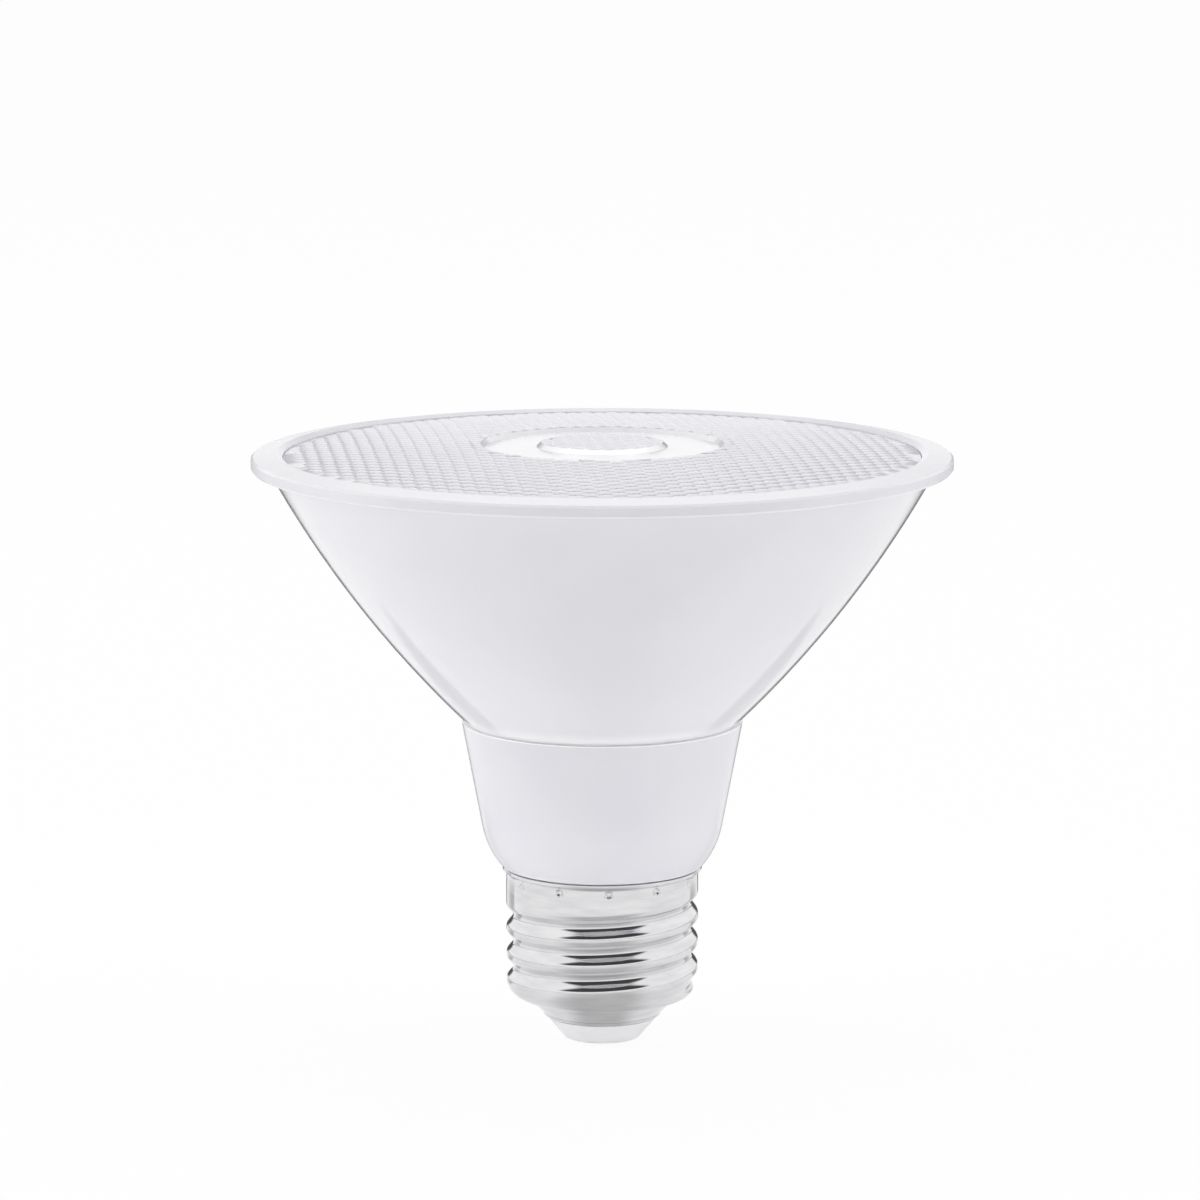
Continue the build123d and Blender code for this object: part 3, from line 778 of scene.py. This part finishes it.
def rolled_shell(material):
    """Thread and crimps pressed into the turned can, by the height and angle of each point."""
    recipe = Recipe("rolled_thread_and_crimps", {
        "Crest radius": thread_crest_r * MM,
        "Groove depth": thread_depth * MM,
        "Pitch": thread_pitch * MM,
        "Crest flat": thread_crest_flat * MM,
        "Groove foot": thread_foot_z * MM,
        "Groove top": thread_top_z * MM,
        "Lead turns": thread_lead_turns,
        "Wall from": (shell_step_r + groove_start) * MM,
        "Crimp count": float(crimp_count),
        "Crimp height": crimp_z * MM,
        "Crimp angle": radians(crimp_turn),
        "Crimp radius": crimp_r * MM,
        "Crimp tip radius": crimp_tip_r * MM,
        "Crimp depth": crimp_depth * MM,
    })
    size = recipe.size
    x, y, z = recipe.where()
    radius = (x * x + y * y).reckon("SQRT")
    angle = y.reckon("ARCTAN2", x)
    turn = angle / tau
    climb = (z - size("Groove foot")) / size("Pitch") - turn
    strand = (climb + 0.5).reckon("FLOOR")
    travelled = strand + turn
    across = (climb - strand).reckon("ABSOLUTE") * size("Pitch")
    half_width = (size("Pitch") - size("Crest flat")) / 2
    hollow = ((across / half_width).at_most(1) * pi).reckon("COSINE") * 0.5 + 0.5
    full_turns = (size("Groove top") - size("Groove foot")) / size("Pitch")
    lead_out = travelled.eased(size("Lead turns") * -1, 0.0)
    lead_in = (full_turns + size("Lead turns") - travelled).eased(0.0, size("Lead turns"))
    on_wall = radius.eased(size("Wall from"), size("Wall from") + groove_ease * MM)
    groove = hollow * lead_out * lead_in * size("Groove depth") * on_wall
    spacing = recipe.worked("DIVIDE", tau, size("Crimp count"))
    nearest = ((angle - size("Crimp angle")) / spacing + 0.5).reckon("FLOOR") * spacing + size("Crimp angle")
    sideways = (angle - nearest) * size("Crest radius")
    upwards = z - size("Crimp height")
    away = (sideways * sideways + upwards * upwards).reckon("SQRT")
    crimp = (away.eased(size("Crimp tip radius"), size("Crimp radius")) * -1 + 1) * size("Crimp depth")
    shrink = (radius - groove - crimp) / radius
    place = recipe.spot(x * shrink, y * shrink, z)
    rolled = recipe.step("GeometryNodeSetPosition", Geometry=recipe.given.outputs["Geometry"], Position=place)
    recipe.finish(rolled.outputs[0], material)
    mesh = recipe.made_from("screw_shell_rolled", turned("can", can_outline(), can_turns()))
    smoothed(mesh, shell_crease)
    return placed("screw_shell_rolled", mesh)


# Lens: a clear moulding with a sunken ring, and a honeycomb of lenslets over its face

lens_dome_r = (lens_edge_r**2 + lens_rise**2) / (2 * lens_rise)
lens_top_z = lens_edge_z + lens_rise


def dome_z(radius):
    """Height of the dome that the lenslets' crowns reach up to."""
    return lens_top_z - lens_dome_r + sqrt(lens_dome_r**2 - radius**2)


def lens_underside():
    """Lens below its face in section, from the edge in to the axis: flange, seat, collimator and well."""
    optic = arched((lens_moat_r, lens_seat_z), (optic_foot_r, optic_foot_z), -optic_bulge, optic_steps)
    well_dip = optic_well_crown / 4
    crown = arched((optic_well_r, optic_well_z), (0, optic_well_z - optic_well_crown), well_dip, crown_steps)
    return [
        (lens_edge_r, lens_edge_z - lenslet_rise),
        (lens_edge_r, lens_flange_z),
        (lens_flange_r, lens_flange_z),
        (lens_flange_r, lens_seat_z),
        *divided([(lens_flange_r, lens_seat_z), (lens_moat_r, lens_seat_z)], seat_spacing)[1:-1],
        *optic,
        (optic_well_r, optic_foot_z),
        *crown[:-1],
        (0, optic_well_z - optic_well_crown),
    ]


def honeycomb_face(material):
    """Lens's face: close-packed lenslets, with the ring round the middle disc left smooth and sunken."""
    columns = 2 * int(lens_edge_r / (hexagon_across * lenslet_r)) + spare_columns
    rows = 2 * int(lens_edge_r / (hexagon_pitch * lenslet_r)) + spare_rows
    recipe = Recipe("honeycomb_face", {
        "Cell radius": lenslet_r * MM,
        "Cell rise": lenslet_rise * MM,
        "Turn": radians(lenslet_turn),
        "Columns": columns,
        "Rows": rows,
        "Face radius": (lens_edge_r - lenslet_edge_gap) * MM,
        "Disc radius": lens_disc_r * MM,
        "Moat radius": lens_moat_r * MM,
        "Moat depth": lens_moat_depth * MM,
        "Dome radius": lens_dome_r * MM,
        "Dome top": lens_top_z * MM,
    })
    size = recipe.size
    lattice = recipe.step(
        "GeometryNodeMeshGrid",
        Size_X=size("Cell radius") * hexagon_across * (columns - 1),
        Size_Y=size("Cell radius") * hexagon_pitch * (rows - 1),
        Vertices_X=size("Columns"),
        Vertices_Y=size("Rows"),
    )
    index = Field(recipe, recipe.step("GeometryNodeInputIndex").outputs[0])
    column = ((index + 0.5) / size("Rows")).reckon("FLOOR")
    odd = column.reckon("MODULO", 2)
    stagger = recipe.spot(0.0, odd * size("Cell radius") * (hexagon_pitch / 2), 0.0)
    staggered = recipe.step("GeometryNodeSetPosition", Geometry=lattice.outputs["Mesh"], Offset=stagger)
    rotation = recipe.spot(0.0, 0.0, size("Turn"))
    laid = recipe.step("GeometryNodeTransform", Geometry=staggered.outputs[0], Rotation=rotation)
    x, y, z = recipe.where()
    radius = (x * x + y * y).reckon("SQRT")
    reached = recipe.kept(laid.outputs[0], "reach", radius)
    hexagon = recipe.step(
        "GeometryNodeMeshCircle",
        {"fill_type": "TRIANGLE_FAN"},
        Vertices=6,
        Radius=size("Cell radius"),
    )
    fine = recipe.step("GeometryNodeSubdivideMesh", Mesh=hexagon.outputs["Mesh"], Level=1)
    along, aside = y / size("Cell radius"), x / size("Cell radius")
    fall = along * along * lenslet_end_fall + aside * aside * lenslet_side_fall
    rise = (fall * -1 + 1).at_least(0) * size("Cell rise")
    crowned = recipe.kept(fine.outputs[0], "crown", rise)
    # Painted shade mask, kept as hollow: full at a lenslet's ends, weaker at its sides
    end_wall = y.reckon("ABSOLUTE").eased(*[size("Cell radius") * share for share in valley_ends])
    side_wall = x.reckon("ABSOLUTE").eased(*[size("Cell radius") * share for share in valley_sides])
    valley_shade_marked = recipe.kept(crowned, "hollow", end_wall * (side_wall * -valley_side_loss + 1))
    cells = recipe.step(
        "GeometryNodeInstanceOnPoints",
        Points=reached,
        Selection=radius.below(size("Face radius") - size("Cell radius")),
        Instance=valley_shade_marked,
        Rotation=rotation,
    )
    real = recipe.step("GeometryNodeRealizeInstances", Geometry=cells.outputs[0])
    reach = recipe.recalled("reach")
    raised_cell = reach.below(size("Disc radius")) + size("Moat radius").below(reach)
    marked = recipe.kept(real.outputs[0], "raised", raised_cell, "BOOLEAN", "FACE")
    merged = recipe.step("GeometryNodeMergeByDistance", Geometry=marked, Distance=lenslet_merge * MM)
    bowl = (size("Dome radius") * size("Dome radius") - radius * radius).reckon("SQRT")
    seat = size("Dome top") - size("Dome radius") + bowl - size("Cell rise") - size("Moat depth")
    domed = recipe.spot(x, y, seat)
    seated = recipe.step("GeometryNodeSetPosition", Geometry=merged.outputs[0], Position=domed)
    stood = recipe.step(
        "GeometryNodeExtrudeMesh",
        {"mode": "FACES"},
        Mesh=seated.outputs[0],
        Selection=recipe.recalled("raised", "BOOLEAN"),
        Offset=recipe.spot(0.0, 0.0, size("Moat depth")),
        Offset_Scale=1.0,
        Individual=False,
    )
    lifted = recipe.step(
        "GeometryNodeSetPosition",
        Geometry=stood.outputs["Mesh"],
        Selection=stood.outputs["Top"],
        Offset=recipe.spot(0.0, 0.0, recipe.recalled("crown")),
    )
    on_top = Field(recipe, stood.outputs["Top"])
    # The painted shade is weaker on the middle disc
    outer_cells = radius.eased(size("Disc radius"), size("Moat radius"))
    strength = outer_cells * (1 - valley_disc_share) + valley_disc_share
    cleared = recipe.kept(lifted.outputs[0], "hollow", recipe.recalled("hollow") * on_top * strength)
    recipe.finish(cleared, material)
    return recipe.made_from("honeycomb_face", bpy.data.meshes.new("start"))


def drawn_in(reach, limit, side):
    """Radius drawn closer to a limit that it lies past, on the outer side for 1 and the inner side for -1."""
    past = max(0, (reach - limit) * side)
    return reach - side * past * (1 - lens_step_draw)


def front_lens(material, ring_material, step_material):
    """Clear lens in one piece: honeycomb face, plain land round it, edge, flange, collimator and well."""
    form = bmesh.new()
    form.from_mesh(honeycomb_face(material))
    upright = [face for face in form.faces if abs(face.normal.z) < wall_limit]
    skirts = [face for face in upright if any(edge.is_boundary for edge in face.edges)]
    bmesh.ops.delete(form, geom=skirts, context="FACES")
    steps = [face for face in form.faces if abs(face.normal.z) < wall_limit]
    moat_middle = (lens_disc_r + lens_moat_r) / 2
    walls = {vertex for face in steps for vertex in face.verts}
    for vertex in form.verts:
        reach = vertex.co.xy.length / MM
        sunken = vertex.co.z / MM < dome_z(reach) - lenslet_rise - lens_moat_depth / 2
        slant = lens_step_slant if sunken else 0
        inner, outer = lens_disc_r + slant, lens_moat_r - slant
        if vertex in walls:
            wanted = inner if reach < moat_middle else outer
        elif sunken:
            wanted = drawn_in(drawn_in(reach, inner + lens_step_ease, -1), outer - lens_step_ease, 1)
        elif reach < moat_middle:
            wanted = drawn_in(reach, inner - lens_step_ease, 1)
        else:
            wanted = drawn_in(reach, outer + lens_step_ease, -1)
        if reach > axis_reach:
            vertex.co.xy *= wanted / reach
    for face in form.faces:
        face.material_index = 0
        if lens_disc_r < face.calc_center_median().xy.length / MM < lens_moat_r:
            face.material_index = 1
    for face in steps:
        if face.calc_center_median().xy.length / MM < moat_middle:
            face.material_index = 2
    # No painted shade on the points of the face's border
    border = [edge for edge in form.edges if edge.is_boundary]
    hollow = form.verts.layers.float["hollow"]
    for vertex in {vertex for edge in border for vertex in edge.verts}:
        vertex[hollow] = 0.0
    rings = [ring_of(form, radius, height, even_turns(lens_columns)) for radius, height in lens_underside()]
    rim = rings[0]
    hoop = [form.edges.new((rim[step - 1], rim[step])) for step in range(len(rim))]
    bmesh.ops.triangle_fill(form, use_beauty=True, use_dissolve=False, edges=border + hoop)
    lofted(form, rings)
    mesh = mesh_of("front_lens_clear", form)
    for part_material in (material, ring_material, step_material):
        mesh.materials.append(part_material)
    smoothed(mesh, lens_crease)
    return placed("front_lens_clear", mesh)


shell = rolled_shell(nickel_plate)
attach(shell, "root")
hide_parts("screw_shell")

lens = front_lens(lens_clear, lens_ring, lens_step)
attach(lens, "root")
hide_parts("front_lens")


# Studio: pale floor, soft lamps, white surroundings and the camera

def turn_from_behind(nodes, links, direction):
    """Angle of a direction to either side, from 0 straight behind the lamp to half a turn straight ahead."""
    parts = parted(nodes, links, direction)
    sideways = reckoned(nodes, links, "ABSOLUTE", parts["X"])
    return reckoned(nodes, links, "ARCTAN2", sideways, parts["Y"])


def within(nodes, links, turn, limits):
    """1 up to the first of two angles in degrees, 0 from the second on."""
    return toned_down(nodes, links, turn, radians(limits[0]), radians(limits[1]))


def floor_shades(nodes, links):
    """How far the floor gives way to the dim room in reflections, by distance and angle."""
    place = nodes.new("ShaderNodeTexCoord").outputs["Object"]
    away = vector_reckoned(nodes, links, "LENGTH", place)
    beyond = ranged(nodes, links, away, table_reach, (0.0, table_end))
    near = ranged(nodes, links, away, card_reach, (0.0, 1.0))
    turn = turn_from_behind(nodes, links, place)
    carded = reckoned(nodes, links, "MULTIPLY", near, within(nodes, links, turn, card_outside))
    strip_end = within(nodes, links, turn, strip_outside)
    strip_start = within(nodes, links, turn, strip_inside)
    strip = reckoned(nodes, links, "SUBTRACT", strip_end, strip_start)
    strip = reckoned(nodes, links, "MULTIPLY", strip, strip_shade)
    reach_end = toned_down(nodes, links, away, *strip_far)
    reach_start = toned_down(nodes, links, away, *strip_near)
    strip_reach = reckoned(nodes, links, "SUBTRACT", reach_end, reach_start)
    strip = reckoned(nodes, links, "MULTIPLY", strip, strip_reach)
    ahead = within(nodes, links, reckoned(nodes, links, "SUBTRACT", pi, turn), foot_shade_angles)
    close = toned_down(nodes, links, away, *foot_shade_reach)
    at_foot = reckoned(nodes, links, "MULTIPLY", ahead, close)
    dark = reckoned(nodes, links, "MULTIPLY", at_foot, foot_shade)
    for other in (beyond, carded, strip):
        dark = reckoned(nodes, links, "MAXIMUM", dark, other)
    return dark


def studio_floor():
    """Wide pale floor at the foot of the lamp, with shades that only reflections show."""
    form = bmesh.new()
    bmesh.ops.create_grid(form, x_segments=2, y_segments=2, size=floor_half)
    mesh = bpy.data.meshes.new("studio_floor")
    form.to_mesh(mesh)
    form.free()
    material = bpy.data.materials.new("pale_floor")
    material.use_nodes = True
    nodes, links = material.node_tree.nodes, material.node_tree.links
    shader = nodes["Principled BSDF"]
    shader.inputs["Base Color"].default_value = floor_pale
    shader.inputs["Roughness"].default_value = floor_rough
    shader.inputs["Specular IOR Level"].default_value = 0.0
    glow = nodes.new("ShaderNodeEmission")
    glow.inputs["Color"].default_value = (1, 1, 1, 1)
    ray = nodes.new("ShaderNodeLightPath").outputs
    seen = reckoned(nodes, links, "MAXIMUM", ray["Is Camera Ray"], ray["Is Transmission Ray"])
    glimpse = reckoned(nodes, links, "MULTIPLY", ray["Is Glossy Ray"], floor_glimpse)
    seen_too = reckoned(nodes, links, "MAXIMUM", seen, glimpse)
    share = reckoned(nodes, links, "MULTIPLY", seen_too, floor_glow)
    pale = blended(nodes, links, share, shader.outputs[0], glow.outputs[0])
    room = nodes.new("ShaderNodeEmission")
    room.inputs["Strength"].default_value = room_glow
    dim = reckoned(nodes, links, "MULTIPLY", floor_shades(nodes, links), ray["Is Glossy Ray"])
    surface = blended(nodes, links, dim, pale, room.outputs[0])
    links.new(surface, nodes["Material Output"].inputs["Surface"])
    mesh.materials.append(material)
    return placed("studio_floor", mesh)


def surroundings():
    """White surroundings, with a dimmer room ahead, the opening for the camera and dark cards."""
    world = bpy.data.worlds.new("white_surroundings")
    bpy.context.scene.world = world
    world.use_nodes = True
    nodes, links = world.node_tree.nodes, world.node_tree.links
    back = nodes["Background"]
    ray = nodes.new("ShaderNodeLightPath").outputs
    seen = reckoned(nodes, links, "MAXIMUM", ray["Is Camera Ray"], ray["Is Transmission Ray"])
    seen_too = reckoned(nodes, links, "MAXIMUM", seen, ray["Is Glossy Ray"])
    toward = nodes.new("ShaderNodeTexCoord").outputs["Generated"]
    room_side = toned_down(nodes, links, parted(nodes, links, toward)["Y"], *room_ahead)
    room_level = reckoned(nodes, links, "MULTIPLY_ADD", room_side, -room_dim, 1.0)
    links.new(reckoned(nodes, links, "MAXIMUM", room_level, seen_too), back.inputs["Strength"])
    squeezed = vector_reckoned(nodes, links, "MULTIPLY", toward, (opening_breadth, 1, 1))
    aimed = vector_reckoned(nodes, links, "NORMALIZE", squeezed)
    middle = (0, -cos(radians(opening_height)), sin(radians(opening_height)))
    facing = vector_reckoned(nodes, links, "DOT_PRODUCT", aimed, middle)
    limits = (cos(radians(opening_inside)), cos(radians(opening_outside)))
    opening = ranged(nodes, links, facing, limits, (opening_darkest, 1.0))
    turn = turn_from_behind(nodes, links, toward)
    inside = within(nodes, links, turn, card_inside)
    outside = within(nodes, links, turn, card_outside)
    card = reckoned(nodes, links, "SUBTRACT", outside, inside)
    carded = reckoned(nodes, links, "MULTIPLY", card, ray["Is Glossy Ray"])
    uncarded = ranged(nodes, links, carded, (0.0, 1.0), (1.0, card_darkest), "LINEAR")
    darkened = reckoned(nodes, links, "MULTIPLY", opening, uncarded)
    links.new(reckoned(nodes, links, "MAXIMUM", darkened, seen), back.inputs["Color"])


def soft_lamp(name, place, aim, width, height, power, spread=180):
    """Wide soft lamp, turned to face its aim, with its light kept within a spread in degrees."""
    light = bpy.data.lights.new(name, "AREA")
    light.shape = "RECTANGLE"
    light.size = width
    light.size_y = height
    light.energy = power
    light.spread = radians(spread)
    lamp = bpy.data.objects.new(name, light)
    lamp.location = place
    lamp.rotation_euler = (Vector(aim) - Vector(place)).to_track_quat("-Z", "Y").to_euler()
    bpy.context.scene.collection.objects.link(lamp)
    return lamp


def camera():
    """Camera at the height and distance that the view has."""
    lens_data = bpy.data.cameras.new("view")
    lens_data.sensor_width = view_sensor
    lens_data.lens = view_lens
    viewer = bpy.data.objects.new("view", lens_data)
    viewer.location = view_place
    viewer.rotation_euler = (radians(90 - view_down), 0, 0)
    bpy.context.scene.collection.objects.link(viewer)
    bpy.context.scene.camera = viewer


studio_floor()
surroundings()
side_box = {"aim": (0, 0, 0.05), "width": 1.0, "height": 0.8}
left = soft_lamp("left_softbox", place=(-1.0, -0.1, 0.45), power=2.4, **side_box)
right = soft_lamp("right_softbox", place=(1.0, -0.1, 0.45), power=1.6, **side_box)
soft_lamp("top_softbox", place=(0, 0.3, 1.2), aim=(0, 0, 0), width=1.4, height=1.0, power=2.0)
fill = soft_lamp("low_fill", place=(0, -1.3, 0.12), aim=(0, 0, 0.02), width=1.2, height=0.3, power=0.45)
foot_fill = soft_lamp(
    "foot_fill", place=(0, -0.5, 0.02), aim=(0, 0, -0.01),
    width=0.12, height=0.03, power=0.0115, spread=20,
)
for lamp in (left, right, fill, foot_fill):
    lamp.visible_glossy = False
    lamp.visible_camera = False
camera()
bpy.context.scene.view_settings.view_transform = "Standard"
